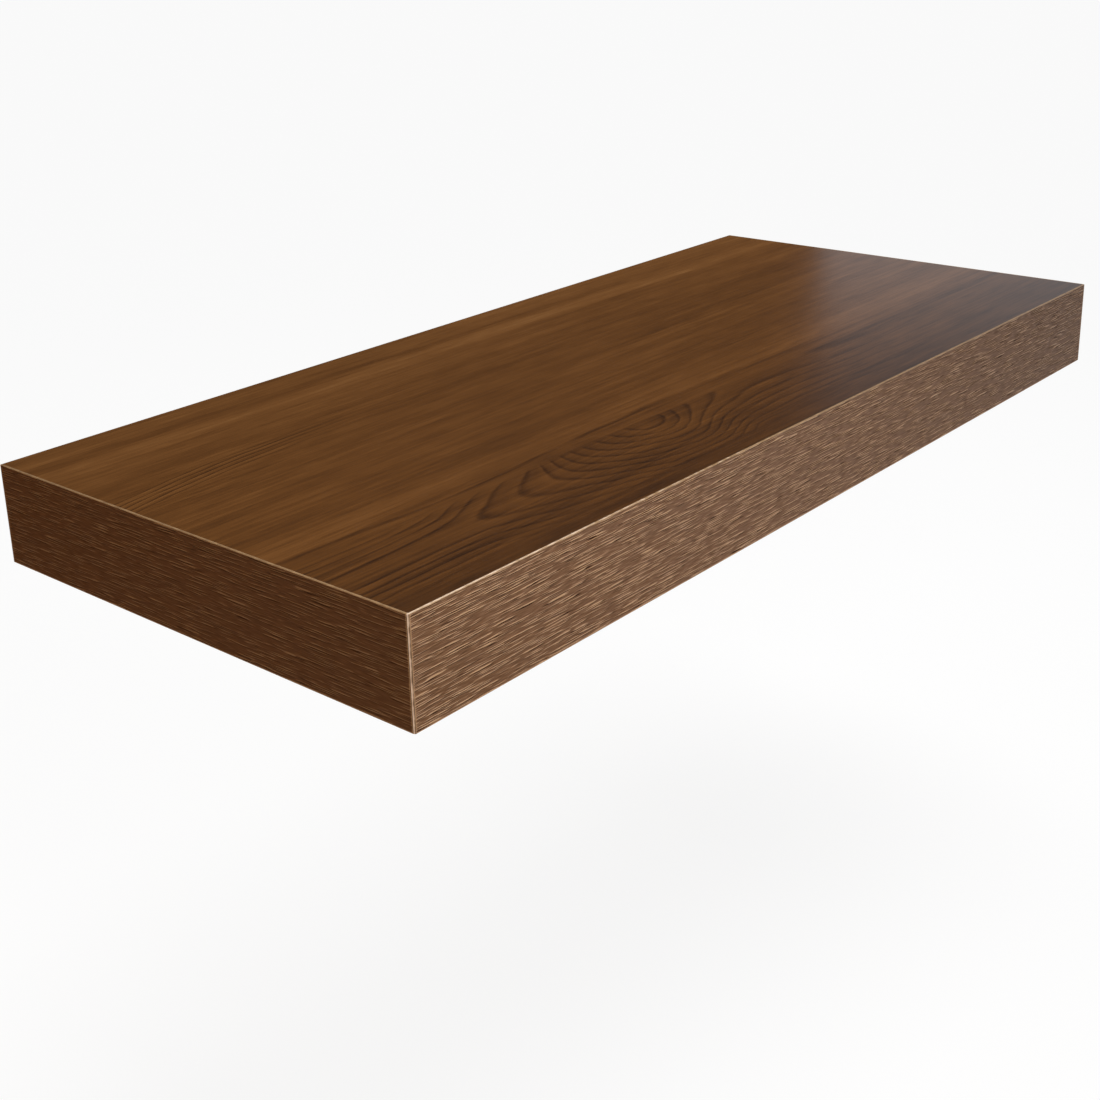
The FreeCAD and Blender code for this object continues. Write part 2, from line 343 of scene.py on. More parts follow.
skin_fibre_mm = (1.6, 1.6, 0.35)
skin_relief = 0.05 * MM

fibreboard, tree, shader = new_material("hard_fibreboard")
# Wood fibres pressed hard: an even dark tan, faintly layered along its edge.
shader.inputs["Specular IOR Level"].default_value = 0.3
place = add_node(tree, "TexCoord").outputs["Object"]
layer_place = add_node(tree, "Mapping", {"Vector": place, "Scale": feature_size(*skin_fibre_mm)})
layers = add_node(tree, "TexNoise", {"Vector": layer_place, "Scale": 1.0, "Detail": 3.0})
fibreboard_colour = add_node(
    tree, "ValToRGB", {0: layers}, stops=[(0.3, "#6d4a2a"), (0.5, "#85603b"), (0.7, "#98744c")]
)
fibreboard_rough = add_node(tree, "MapRange", {"Value": layers, "To Min": 0.7, "To Max": 0.9})
fibreboard_bump = add_node(tree, "Bump", {"Height": layers, "Strength": 0.4, "Distance": skin_relief})
connect(tree, shader, Base_Color=fibreboard_colour, Roughness=fibreboard_rough, Normal=fibreboard_bump)

dress(fibreboard, "top_skin", "bottom_skin")


# Decor films
# Paper printed with a walnut figure of glued staves, soaked in melamine and pressed on both faces.
# Places in the figure are in millimetres, along from the left end and across from the wall.

shelf_length_mm = (cad_box[1][0] - cad_box[0][0]) / MM
shelf_depth_mm = (cad_box[1][1] - cad_box[0][1]) / MM
shelf_left = cad_box[0][0]

# Rings of the front stave: the line of their noses across the board, the number of the ring that has its
# nose at each place along that line, and how blunt the noses are there, in rings.
nose_line = [
    (0, 231), (60, 230), (88, 228), (118, 225.5), (142, 223), (152, 220), (162, 216), (172, 211),
    (184, 207.5), (195, 206.3), (205, 206), (225, 206), (245, 206), (300, 206), (400, 206), (610, 206),
]
nose_ring = [
    (0, 10.55), (60, 10.45), (78, 10.25), (88, 10), (118, 9), (142, 8), (153, 7), (163, 6), (172, 5),
    (180, 4.1), (188, 3.3), (196, 2.55), (205, 1.75), (215, 0.95), (226, 0.3), (236, 0.65), (247, 1.75),
    (262, 3), (285, 4), (310, 4.5), (400, 3.9), (610, 3.5),
]
nose_bluntness = [
    (0, 2.2), (60, 2.2), (88, 3.7), (118, 5.8), (142, 6.5), (163, 6.9), (172, 7.9), (185, 8), (195, 6.9),
    (205, 5.6), (215, 4.5), (226, 3.7), (236, 3.8), (247, 4.3), (262, 4.7), (285, 6.1), (310, 7), (400, 8),
    (610, 8),
]
most_rings = 12
ring_width_mm = 4.5
ring_contrast = 0.38
# One ring, from its thin dark late wood through the pale early wood to the next.
ring_profile = [(0, 0), (0.08, 0.3), (0.2, 0.85), (0.45, 0.7), (0.75, 0.6), (0.9, 0.3), (1, 0)]
ring_middle_tone = 0.6
# The rings fade towards the front edge and towards the right end.
ring_fade_across = [(0, 0.7), (203, 0.7), (209, 1), (250, 1), (260, 0.2), (270, 0.1)]
ring_fade_along = [
    (0, 1), (60, 1), (90, 0.85), (125, 0.75), (145, 0.9), (230, 0.9), (300, 0.75), (400, 0.6),
    (450, 0.15), (610, 0.05),
]
# Staves: where the front one starts, the width of its joint, and the dark line that wanders beside it.
front_stave_across = 206
stave_joint_mm = (-1, 2)
dark_line = [
    (0, 196), (40, 198), (100, 200.5), (150, 198.5), (190, 195.5), (240, 195), (320, 196.5), (400, 199),
    (610, 200),
]
dark_line_fade = [
    (0, 0.65), (150, 0.7), (168, 0.3), (185, 0.4), (205, 0.9), (245, 0.8), (300, 0.45), (390, 0.5),
    (430, 0.1), (610, 0.05),
]
dark_line_core_mm, dark_line_edge_mm = 0.3, 1.9
dark_line_tone = -0.3
# The bundle of fine lines at the left end of the middle stave, lifted as it leaves the end.
bundle_lift = [(0, 0), (20, 3.5), (45, 7), (80, 10), (160, 12), (610, 12)]
most_lift = 20
bundle_start_mm = 92
bundle_pitch_mm = 3.9
bundle_core_mm, bundle_edge_mm = 6, 11
bundle_middle_tone = 0.55
bundle_contrast = 0.65
bundle_fade_start_share, bundle_fade_end_share = 0.12, 0.32
# Tone across the board: half is the middle brown.
stave_tones = [
    (0, 0.64), (16, 0.66), (22, 0.56), (28, 0.65), (36, 0.74), (42, 0.69), (47, 0.57), (54, 0.6), (72, 0.54),
    (88, 0.5), (102, 0.52), (150, 0.51), (172, 0.47), (182, 0.57), (191, 0.57), (196, 0.5), (205, 0.46),
    (208, 0.37), (228, 0.37), (245, 0.31), (270, 0.25),
]
# Sizes of the print's fine figure along X, Y and Z, and how much each lightens or darkens the tone.
fibre_mm_and_tone = ((25, 0.8, 25), 0.28)
fibre_streak_mm_and_tone = ((90, 1.8, 90), 0.24)
long_streak_mm_and_tone = ((260, 9, 260), 0.16)
blotch_mm_and_tone = ((34, 9, 34), 0.12)
pore_mm = (7, 0.55, 7)
deep_pore_share, no_pore_share = 0.25, 0.42
pore_tone = -0.09
pore_depth = 0.05 * MM
# How far all the lines of the figure wander from straight, and over what size.
wander_size_mm = (55, 11, 55)
most_wander_mm = 2.2


def along_shares(points, most):
    """Points along the board, as shares of its length and of the most that their value can be."""
    return [(along / shelf_length_mm, value / most) for along, value in points]


def across_shares(points):
    """Points across the board, as shares of its depth, with their values."""
    return [(across / shelf_depth_mm, value) for across, value in points]


decor_film, tree, shader = new_material("walnut_print_melamine")
# A printed figure under clear resin: brown, even and smooth, with a satin sheen at low angles.
shader.inputs["IOR"].default_value = 1.5
place = add_node(tree, "TexCoord").outputs["Object"]
axes = add_node(tree, "SeparateXYZ", {0: place})
# The underside is the same print turned end for end, so its noses point the other way.
facing = add_node(tree, "SeparateXYZ", {0: add_node(tree, "NewGeometry").outputs["Normal"]})
turned = add_node(tree, "Math", {0: facing.outputs["Z"]}, operation="SIGN")
along_x = add_node(tree, "Math", {0: axes.outputs["X"], 1: turned}, operation="MULTIPLY")
along = add_node(tree, "MapRange", {"Value": along_x, "From Min": shelf_left, "From Max": -shelf_left})
wander_place = add_node(tree, "Mapping", {"Vector": place, "Scale": feature_size(*wander_size_mm)})
wander = add_node(tree, "TexNoise", {"Vector": wander_place, "Scale": 1.0, "Detail": 2.0})
wander_mm = add_node(
    tree, "MapRange", {"Value": wander, "To Min": -most_wander_mm, "To Max": most_wander_mm}
)
across = add_node(tree, "Math", {0: axes.outputs["Y"], 1: -1 / MM, 2: wander_mm}, operation="MULTIPLY_ADD")

nose_share = add_node(tree, "FloatCurve", {"Value": along}, points=along_shares(nose_line, shelf_depth_mm))
nose_across = add_node(tree, "Math", {0: nose_share, 1: shelf_depth_mm}, operation="MULTIPLY")
from_nose = add_node(tree, "Math", {0: across, 1: nose_across}, operation="SUBTRACT")
rings_out = add_node(tree, "Math", {0: from_nose, 1: ring_width_mm}, operation="DIVIDE")
blunt_share = add_node(tree, "FloatCurve", {"Value": along}, points=along_shares(nose_bluntness, most_rings))
blunt = add_node(tree, "Math", {0: blunt_share, 1: most_rings}, operation="MULTIPLY")
nose_plan = add_node(tree, "CombineXYZ", {"X": rings_out, "Y": blunt})
rounded = add_node(tree, "VectorMath", {0: nose_plan}, operation="LENGTH").outputs["Value"]
first_share = add_node(tree, "FloatCurve", {"Value": along}, points=along_shares(nose_ring, most_rings))
first_ring = add_node(tree, "Math", {0: first_share, 1: most_rings, 2: rounded}, operation="MULTIPLY_ADD")
ring_place = add_node(tree, "Math", {0: first_ring, 1: blunt}, operation="SUBTRACT")
ring_share = add_node(tree, "Math", {0: ring_place}, operation="FRACT")
ring_tone = add_node(tree, "FloatCurve", {"Value": ring_share}, points=ring_profile)
depth_share = add_node(tree, "Math", {0: across, 1: shelf_depth_mm}, operation="DIVIDE")
joint_start, joint_end = [front_stave_across + off for off in stave_joint_mm]
front_stave = add_node(tree, "MapRange", {"Value": across, "From Min": joint_start, "From Max": joint_end})
fade_along = add_node(tree, "FloatCurve", {"Value": along}, points=along_shares(ring_fade_along, 1))
fade_across = add_node(tree, "FloatCurve", {"Value": depth_share}, points=across_shares(ring_fade_across))
faded = add_node(tree, "Math", {0: fade_along, 1: fade_across}, operation="MULTIPLY")
in_stave = add_node(tree, "Math", {0: front_stave, 1: faded}, operation="MULTIPLY")
ring_signed = add_node(tree, "Math", {0: ring_tone, 1: ring_middle_tone}, operation="SUBTRACT")
ring_strong = add_node(tree, "Math", {0: ring_signed, 1: ring_contrast}, operation="MULTIPLY")
ring_part = add_node(tree, "Math", {0: ring_strong, 1: in_stave}, operation="MULTIPLY")

line_share = add_node(tree, "FloatCurve", {"Value": along}, points=along_shares(dark_line, shelf_depth_mm))
line_across = add_node(tree, "Math", {0: line_share, 1: shelf_depth_mm}, operation="MULTIPLY")
line_gap = add_node(tree, "Math", {0: across, 1: line_across}, operation="SUBTRACT")
line_distance = add_node(tree, "Math", {0: line_gap}, operation="ABSOLUTE")
line_dark = add_node(
    tree, "MapRange",
    {
        "Value": line_distance, "From Min": dark_line_core_mm, "From Max": dark_line_edge_mm,
        "To Min": dark_line_tone, "To Max": 0.0,
    },
    interpolation_type="SMOOTHSTEP",
)
line_fade = add_node(tree, "FloatCurve", {"Value": along}, points=along_shares(dark_line_fade, 1))
line_part = add_node(tree, "Math", {0: line_dark, 1: line_fade}, operation="MULTIPLY")

lift_share = add_node(tree, "FloatCurve", {"Value": along}, points=along_shares(bundle_lift, most_lift))
lifted = add_node(tree, "Math", {0: lift_share, 1: most_lift, 2: across}, operation="MULTIPLY_ADD")
bundle_place = add_node(tree, "Math", {0: lifted, 1: bundle_start_mm}, operation="SUBTRACT")
bundle_turns = add_node(tree, "Math", {0: bundle_place, 1: bundle_pitch_mm}, operation="DIVIDE")
bundle_share = add_node(tree, "Math", {0: bundle_turns}, operation="FRACT")
bundle_tone = add_node(tree, "FloatCurve", {"Value": bundle_share}, points=ring_profile)
bundle_signed = add_node(tree, "Math", {0: bundle_tone, 1: bundle_middle_tone}, operation="SUBTRACT")
bundle_middle = add_node(tree, "Math", {0: bundle_place, 1: bundle_pitch_mm}, operation="SUBTRACT")
bundle_off = add_node(tree, "Math", {0: bundle_middle}, operation="ABSOLUTE")
bundle_band = add_node(
    tree, "MapRange",
    {
        "Value": bundle_off, "From Min": bundle_core_mm, "From Max": bundle_edge_mm,
        "To Min": bundle_contrast, "To Max": 0.0,
    },
    interpolation_type="SMOOTHSTEP",
)
bundle_fade = add_node(
    tree, "MapRange",
    {
        "Value": along, "From Min": bundle_fade_start_share, "From Max": bundle_fade_end_share,
        "To Min": 1.0, "To Max": 0.0,
    },
)
bundle_strength = add_node(tree, "Math", {0: bundle_band, 1: bundle_fade}, operation="MULTIPLY")
bundle_part = add_node(tree, "Math", {0: bundle_signed, 1: bundle_strength}, operation="MULTIPLY")

tone = add_node(tree, "FloatCurve", {"Value": depth_share}, points=across_shares(stave_tones))
for part in (ring_part, line_part, bundle_part):
    tone = add_node(tree, "Math", {0: tone, 1: part}, operation="ADD")
figure_parts = (fibre_mm_and_tone, fibre_streak_mm_and_tone, long_streak_mm_and_tone, blotch_mm_and_tone)
for size, strength in figure_parts:
    streak_place = add_node(tree, "Mapping", {"Vector": place, "Scale": feature_size(*size)})
    streak = add_node(tree, "TexNoise", {"Vector": streak_place, "Scale": 1.0, "Detail": 3.0})
    streak_part = add_node(tree, "MapRange", {"Value": streak, "To Min": -strength, "To Max": strength})
    tone = add_node(tree, "Math", {0: tone, 1: streak_part}, operation="ADD")
pore_place = add_node(tree, "Mapping", {"Vector": place, "Scale": feature_size(*pore_mm)})
pores = add_node(tree, "TexNoise", {"Vector": pore_place, "Scale": 1.0, "Detail": 1.0})
pore_part = add_node(
    tree, "MapRange",
    {
        "Value": pores, "From Min": deep_pore_share, "From Max": no_pore_share,
        "To Min": pore_tone, "To Max": 0.0,
    },
)
tone = add_node(tree, "Math", {0: tone, 1: pore_part}, operation="ADD")
walnut_colour = add_node(
    tree, "ValToRGB", {0: tone},
    stops=[(0.0, "#2c1809"), (0.25, "#472a10"), (0.5, "#5e3a18"), (0.75, "#724a24"), (1.0, "#875e35")],
)
satin = add_node(tree, "MapRange", {"Value": tone, "To Min": 0.36, "To Max": 0.28})
pore_bump = add_node(tree, "Bump", {"Height": pores, "Strength": 0.12, "Distance": pore_depth})
connect(tree, shader, Base_Color=walnut_colour, Roughness=satin, Normal=pore_bump)

dress(decor_film, "top_decor_film", "bottom_decor_film")


# Edge bands
# Strips of brown plastic, embossed like brushed wood and printed, glued on hot and trimmed with a bevel.
# The trimming cuts through the print, so the paler plastic shows as a thin line round the edges.

band_bevel = 0.2 * MM
band_corner_land = 0.3 * MM
emboss_depth = 0.42 * MM
emboss_margin = 0.5 * MM
emboss_step_along = 1.1 * MM
emboss_step_up = 0.15 * MM
# Long thin strokes, each with a groove just below it, and short ticks. Each size is along and up the band.
# They sway a little and are set off along the band from row to row. Each part has a noise of its own.
stroke_mm = (15.0, 0.44)
# The groove under each stroke takes the dark groove ink: a painted shadow under the stroke.
groove_drop_mm = 0.4
tick_mm = (5.0, 0.32)
sway_mm = (20, 8)
sway_height_mm = 0.25
row_mm = 2.4
row_shift_mm = 16
plain_depth = 0.55
stroke_threshold = 0.08
stroke_height, stroke_cut = 13.0, 10.0
tick_height, tick_cut = 0.5, 0.2
stroke_seed, tick_seed, row_seed = 10, 20, 30
row_place = 0.5
# The print: its soft change of tone along the band, and the fine tooth of its matt ink.
ink_mm = (24, 24, 2.2)
# The ink is darker in the grooves and paler on the ridges: partly print, partly painted shade and highlight.
groove_ink_and_painted_shade = -0.85
tooth_mm = (3, 3, 0.4)
tooth_depth = 0.12 * MM
cutter_mark_mm = (5, 5, 5)
# How far the painted highlight lifts the tone of the trimmed plastic.
painted_highlight_tone = 0.5
# Where each finish goes: an end land faces straight sideways, and a corner's bevel faces half sideways.
print_finish, edge_finish, corner_finish = 0, 1, 2
land_facing, corner_facing = 0.9, 0.5
# The end bands are embossed more weakly, so their strokes and inked grooves are fainter: painted shade,
# standing in for the dim light on the ends.
front_relief, end_relief_for_painted_shade = 1.0, 0.65


def emboss(along, up, seed):
    """How deep the embossing is at a place on a band, from 0 on the ridges to 1 in the grooves."""
    along, up = along / MM, up / MM
    up += sway_height_mm * noise.noise(Vector((along / sway_mm[0], up / sway_mm[1], seed)))
    along += row_shift_mm * noise.noise(Vector((row_place, up / row_mm, seed + row_seed)))
    stroke = noise.noise(Vector((along / stroke_mm[0], up / stroke_mm[1], seed + stroke_seed)))
    tick = noise.noise(Vector((along / tick_mm[0], up / tick_mm[1], seed + tick_seed)))
    above_up = (up + groove_drop_mm) / stroke_mm[1]
    above = noise.noise(Vector((along / stroke_mm[0], above_up, seed + stroke_seed)))
    ridge = stroke_height * max(0, stroke - stroke_threshold) ** 2 + tick_height * max(0, tick)
    groove = stroke_cut * max(0, above - stroke_threshold) ** 2 + tick_cut * max(0, -tick)
    return min(1, max(0, plain_depth - ridge + groove))


band_print, tree, shader = new_material("embossed_walnut_plastic")
# Brown plastic with an embossed, printed face: satin ridges that catch the light and dull grooves, with the
# ink darker in the grooves and paler on the ridges, partly print and partly painted shade and highlight.
place = add_node(tree, "TexCoord").outputs["Object"]
depth = add_node(tree, "Attribute", attribute_name="emboss").outputs["Fac"]
shine = add_node(tree, "MapRange", {"Value": depth, "To Min": 1.0, "To Max": 0.1})
ink_place = add_node(tree, "Mapping", {"Vector": place, "Scale": feature_size(*ink_mm)})
ink = add_node(tree, "TexNoise", {"Vector": ink_place, "Scale": 1.0, "Detail": 4.0})
ink_tone = add_node(tree, "MapRange", {"Value": ink, "To Min": 0.77, "To Max": 0.91})
# Painted shade and highlight with the print: darker in the grooves, paler on the ridges.
print_and_painted_shade_tone = add_node(tree, "Math", {0: depth, 1: groove_ink_and_painted_shade, 2: ink_tone}, operation="MULTIPLY_ADD")
print_and_painted_shade_colour = add_node(
    tree, "ValToRGB", {0: print_and_painted_shade_tone}, stops=[(0.0, "#2f1807"), (0.5, "#6e4417"), (1.0, "#be9465")]
)
print_rough = add_node(tree, "MapRange", {"Value": depth, "To Min": 0.4, "To Max": 0.65})
tooth_place = add_node(tree, "Mapping", {"Vector": place, "Scale": feature_size(*tooth_mm)})
tooth = add_node(tree, "TexNoise", {"Vector": tooth_place, "Scale": 1.0, "Detail": 2.0})
tooth_bump = add_node(tree, "Bump", {"Height": tooth, "Strength": 0.5, "Distance": tooth_depth})
connect(tree, shader, Base_Color=print_and_painted_shade_colour, Roughness=print_rough)
connect(tree, shader, Specular_IOR_Level=shine, Normal=tooth_bump)


def trimmed_plastic(name, stops):
    """The same plastic at the trimmed bevels: tan and smooth, with faint cutter marks, and painted paler
    where they carry a painted highlight.
    """
    material, tree, shader = new_material(name)
    place = add_node(tree, "TexCoord").outputs["Object"]
    cutter_place = add_node(tree, "Mapping", {"Vector": place, "Scale": feature_size(*cutter_mark_mm)})
    cutter = add_node(tree, "TexNoise", {"Vector": cutter_place, "Scale": 1.0, "Detail": 3.0})
    # On the bevels the emboss attribute holds the share of the painted highlight.
    highlight_share = add_node(tree, "Attribute", attribute_name="emboss").outputs["Fac"]
    tone = add_node(tree, "Math", {0: highlight_share, 1: painted_highlight_tone, 2: cutter}, operation="MULTIPLY_ADD")
    colour = add_node(tree, "ValToRGB", {0: tone}, stops=stops)
    rough = add_node(tree, "MapRange", {"Value": cutter, "To Min": 0.35, "To Max": 0.5})
    connect(tree, shader, Base_Color=colour, Roughness=rough)
    return material


# Along the edges the trimming shows the tan plastic. Towards the front's left end it is painted paler, most
# of all
# at the left corner: a painted highlight. The right corner is darker than the edges. The lands at the
# front's ends take the print's colour, dark at the left end and pale at the right.
front_painted_highlight_share = 0.56
band_edge_and_painted_highlight = trimmed_plastic(
    "trimmed_tan_plastic_and_painted_highlight", [(0.3, "#806347"), (0.5, "#8f7150"), (0.7, "#9c7d5a"), (1.0, "#d4bba2")]
)
# The corners' tan, painted pale at the front's left end as a painted highlight.
band_corner_and_painted_highlight = trimmed_plastic(
    "corner_tan_plastic_and_painted_highlight", [(0.35, "#5c4530"), (0.6, "#755a42"), (0.78, "#c8ab92"), (1.0, "#dec5ae")]
)


def edge_band(name, start, run, outward, length, trim_ends, relief, seed):
    """A band as a closed mesh: an embossed face, a bevel round it, a land behind that and a flat back.

    It starts at a point on the board, runs along one direction and faces another. Its ends are trimmed to a
    wider bevel than its long edges, or left square. Its relief is a share of the embossing's full strength.
    """
    band_low, band_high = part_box(name)
    half_height = (band_high.z - band_low.z) / 2
    thickness = min(band_high.x - band_low.x, band_high.y - band_low.y)
    edge_land = thickness - band_bevel
    end_land = band_corner_land if trim_ends else edge_land
    end_bevel = thickness - end_land if trim_ends else 0
    columns = round(length / emboss_step_along)
    rows = round(2 * half_height / emboss_step_up)

    def spot(along, up, out):
        return start + run * along + Vector((0, 0, up)) + outward * out

    alongs = [end_bevel + (length - 2 * end_bevel) * i / columns for i in range(columns + 1)]
    face_half = half_height - band_bevel
    ups = [-face_half + 2 * face_half * j / rows for j in range(rows + 1)]
    points, depths_and_highlight = [], []
    for up in ups:
        for along in alongs:
            margin = min(face_half - abs(up), along - end_bevel, length - end_bevel - along)
            groove = plain_depth + relief * (emboss(along, up, seed) - plain_depth)
            groove *= min(1, margin / emboss_margin)
            points.append(spot(along, up, thickness - emboss_depth * groove))
            depths_and_highlight.append(groove)
    wide = columns + 1
    faces = []
    for j in range(rows):
        for i in range(columns):
            corner = j * wide + i
            faces.append((corner, corner + 1, corner + wide + 1, corner + wide))
    face_count = len(faces)

    # The rim of the face, counter-clockwise from its lower start, and the same rim moved out by the bevel.
    rim = []
    rim += [(i, alongs[i], -half_height, edge_land) for i in range(wide)]
    rim += [(j * wide + columns, length, ups[j], end_land) for j in range(rows + 1)]
    rim += [(rows * wide + i, alongs[i], half_height, edge_land) for i in reversed(range(wide))]
    rim += [(j * wide, 0, ups[j], end_land) for j in reversed(range(rows + 1))]
    land = len(points)
    back = land + len(rim)
    points += [spot(along, up, out) for _, along, up, out in rim]
    points += [spot(along, up, 0) for _, along, up, _ in rim]
    # The bevels' painted highlight: full at the front's left end, gone by this share of the front's length.
    highlight_reach = front_painted_highlight_share * length if trim_ends else 0
    depths_and_highlight += 2 * [max(0, 1 - along / highlight_reach) if highlight_reach else 0 for _, along, _, _ in rim]
    for k, (inner, _, _, _) in enumerate(rim):
        beside = (k + 1) % len(rim)
        if rim[beside][0] == inner:
            faces.append((inner, land + k, land + beside))
        else:
            faces.append((inner, land + k, land + beside, rim[beside][0]))
        faces.append((land + k, back + k, back + beside, land + beside))
    faces.append([back + k for k in reversed(range(len(rim)))])

    band = mesh_piece(name + "_embossed", points, faces, [band_print, band_edge_and_painted_highlight, band_corner_and_painted_highlight])
    for polygon in band.data.polygons[face_count:]:
        polygon.use_smooth = False
        sideways = abs(polygon.normal.x) if trim_ends else 0
        if sideways > land_facing:
            polygon.material_index = print_finish
        elif sideways > corner_facing:
            polygon.material_index = corner_finish
        else:
            polygon.material_index = edge_finish
    band.data.attributes.new("emboss", "FLOAT", "POINT").data.foreach_set("value", depths_and_highlight)
    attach(band, "shelf")
    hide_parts(name)


front_low, front_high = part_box("front_edge_band")
left_low, left_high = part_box("left_edge_band")
right_low, right_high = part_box("right_edge_band")
rightward, wallward = Vector((1, 0, 0)), Vector((0, 1, 0))
edge_band(
    "front_edge_band", start=Vector((front_low.x, front_high.y, 0)), run=rightward, outward=-wallward,
    length=front_high.x - front_low.x, trim_ends=True, relief=front_relief, seed=1,
)
edge_band(
    "left_edge_band", start=Vector((left_high.x, left_high.y, 0)), run=-wallward, outward=-rightward,
    length=left_high.y - left_low.y, trim_ends=False, relief=end_relief_for_painted_shade, seed=2,
)
edge_band(
    "right_edge_band", start=Vector((right_low.x, right_low.y, 0)), run=wallward, outward=rightward,
    length=right_high.y - right_low.y, trim_ends=False, relief=end_relief_for_painted_shade, seed=3,
)


# Lock inserts
# Threaded sleeves of steel, turned and zinc plated. They are driven into the underside, flush with the film,
# and each holds a lock screw.

insert_marks_mm = (0.7, 0.7, 0.7)

dress(zinc_plated_steel("zinc_plated_insert", insert_marks_mm), "left_lock_insert", "right_lock_insert")


# Lock screws
# Steel grub screws with a rolled thread and a hexagon socket, blackened in a hot oxide bath. Each turns up
# through its insert from below and clamps a rod.

thread_pitch = 1.0 * MM
thread_depth = 0.5 * MM
thread_sides = 48
thread_steps = 8
chamfer = 0.8 * MM
socket_flats = 3.0 * MM
socket_depth = 3.5 * MM
socket_middle_share = 0.02
hexagon_sector = math.tau / 6
crest_wear_mm = (1.5, 1.5, 1.5)

black_oxide, tree, shader = new_material("black_oxide_steel")
# A thin black oxide on steel: near black and oily, a little worn to grey on the crests.
shader.inputs["Metallic"].default_value = 0.7
place = add_node(tree, "TexCoord").outputs["Object"]
wear_place = add_node(tree, "Mapping", {"Vector": place, "Scale": feature_size(*crest_wear_mm)})
wear = add_node(tree, "TexNoise", {"Vector": wear_place, "Scale": 1.0, "Detail": 4.0})
oxide_colour = add_node(
    tree, "ValToRGB", {0: wear}, stops=[(0.4, "#1c1c1e"), (0.6, "#2a2a2c"), (0.8, "#4c4b4a")]
)
oxide_rough = add_node(tree, "MapRange", {"Value": wear, "To Min": 0.3, "To Max": 0.5})
connect(tree, shader, Base_Color=oxide_colour, Roughness=oxide_rough)

for screw in ("left_lock_screw", "right_lock_screw"):
    low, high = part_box(screw)
    centre = (low + high) / 2
    radius = (high.x - low.x) / 2
    rings = []
    turns = [math.tau * side / thread_sides for side in range(thread_sides)]
    # The socket, from the middle of its floor down to its mouth.
    for share, depth in ((socket_middle_share, socket_depth), (1, socket_depth), (1, 0)):
        ring = []
        for turn in turns:
            sector = (turn + hexagon_sector / 2) % hexagon_sector - hexagon_sector / 2
            reach = share * socket_flats / 2 / math.cos(sector)
            x, y = centre.x + reach * math.cos(turn), centre.y + reach * math.sin(turn)
            ring.append(Vector((x, y, low.z + depth)))
        rings.append(ring)
    # The thread, from the foot up to the tip.
    steps = round((high.z - low.z) / thread_pitch * thread_steps)
    for step in range(steps + 1):
        height = (high.z - low.z) * step / steps
        ring = []
        for turn in turns:
            phase = (height / thread_pitch - turn / math.tau) % 1
            groove = thread_depth * abs(2 * phase - 1)
            edge = min(height, high.z - low.z - height)
            reach = min(radius - groove, radius - chamfer + edge)
            x, y = centre.x + reach * math.cos(turn), centre.y + reach * math.sin(turn)
            ring.append(Vector((x, y, low.z + height)))
        rings.append(ring)
    points = [point for ring in rings for point in ring]
    faces = ring_faces(len(rings), thread_sides)
    faces.append(list(reversed(range(thread_sides))))
    faces.append([len(points) - thread_sides + side for side in range(thread_sides)])
    grub_screw = mesh_piece(screw + "_threaded", points, faces, [black_oxide])
    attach(grub_screw, screw)
    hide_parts(screw)


# Studio floor and surround
# A painted floor below the shelf, with a white room beyond it. It is white to the eye and to reflections and
# still takes the shelf's shadow.

floor_drop = 0.30
floor_reach = 30.0
floor_white_share = 0.85
floor_low = cad_box[0][2] - floor_drop


def looked_at(tree):
    """1 where the eye looks straight, by reflection or through something clear, and 0 for other light."""
    rays = add_node(tree, "LightPath").outputs
    looks = rays["Is Camera Ray"]
    for kind in ("Is Glossy Ray", "Is Transmission Ray"):
        looks = add_node(tree, "Math", {0: looks, 1: rays[kind]}, operation="MAXIMUM")
    return looks


floor_paint, tree, shader = new_material("white_studio_floor")
# Matt white paint. Seen straight on or in a reflection it is lifted to plain white, with its shadow kept.
# The light that it throws back on the shelf is that of a greyer floor, so the underside stays dark.
shader.inputs["Roughness"].default_value = 0.9
shader.inputs["Specular IOR Level"].default_value = 0.0
seen = looked_at(tree)
floor_colour = add_node(tree, "Mix", {0: seen, 6: linear("#a08c78"), 7: linear("#f6f6f6")}, data_type="RGBA")
tree.links.new(floor_colour.outputs[2], shader.inputs["Base Color"])
lifted = add_node(tree, "Math", {0: seen, 1: floor_white_share}, operation="MULTIPLY")
white = add_node(tree, "Emission", {"Color": linear("#ffffff"), "Strength": 1.0})
floor_mix = add_node(tree, "MixShader", {0: lifted, 1: shader, 2: white})
clear = add_node(tree, "BsdfTransparent")
from_below = add_node(tree, "NewGeometry").outputs["Backfacing"]
one_sided = add_node(tree, "MixShader", {0: from_below, 1: floor_mix, 2: clear})
tree.links.new(one_sided.outputs[0], tree.nodes["Material Output"].inputs["Surface"])

floor_corners = [(-1, -1), (1, -1), (1, 1), (-1, 1)]
floor_points = [(x * floor_reach, y * floor_reach, floor_low) for x, y in floor_corners]
floor = mesh_piece("studio_floor", floor_points, [(0, 1, 2, 3)], [floor_paint])


# Studio light
# A white room lights everything evenly. Soft lamps above and behind light the top, one in front of the left
# end models the front and fades towards the right, and a weak warm one fills in the left end.

room_level = 0.22

world = bpy.data.worlds.new("white_room")
bpy.context.scene.world = world
world.use_nodes = True
tree = world.node_tree
tree.nodes.clear()
seen = looked_at(tree)
room_light = add_node(tree, "MapRange", {"Value": seen, "To Min": room_level, "To Max": 1.0})
room = add_node(tree, "Background", {"Color": linear("#ffffff"), "Strength": room_light})
add_node(tree, "OutputWorld", {"Surface": room})


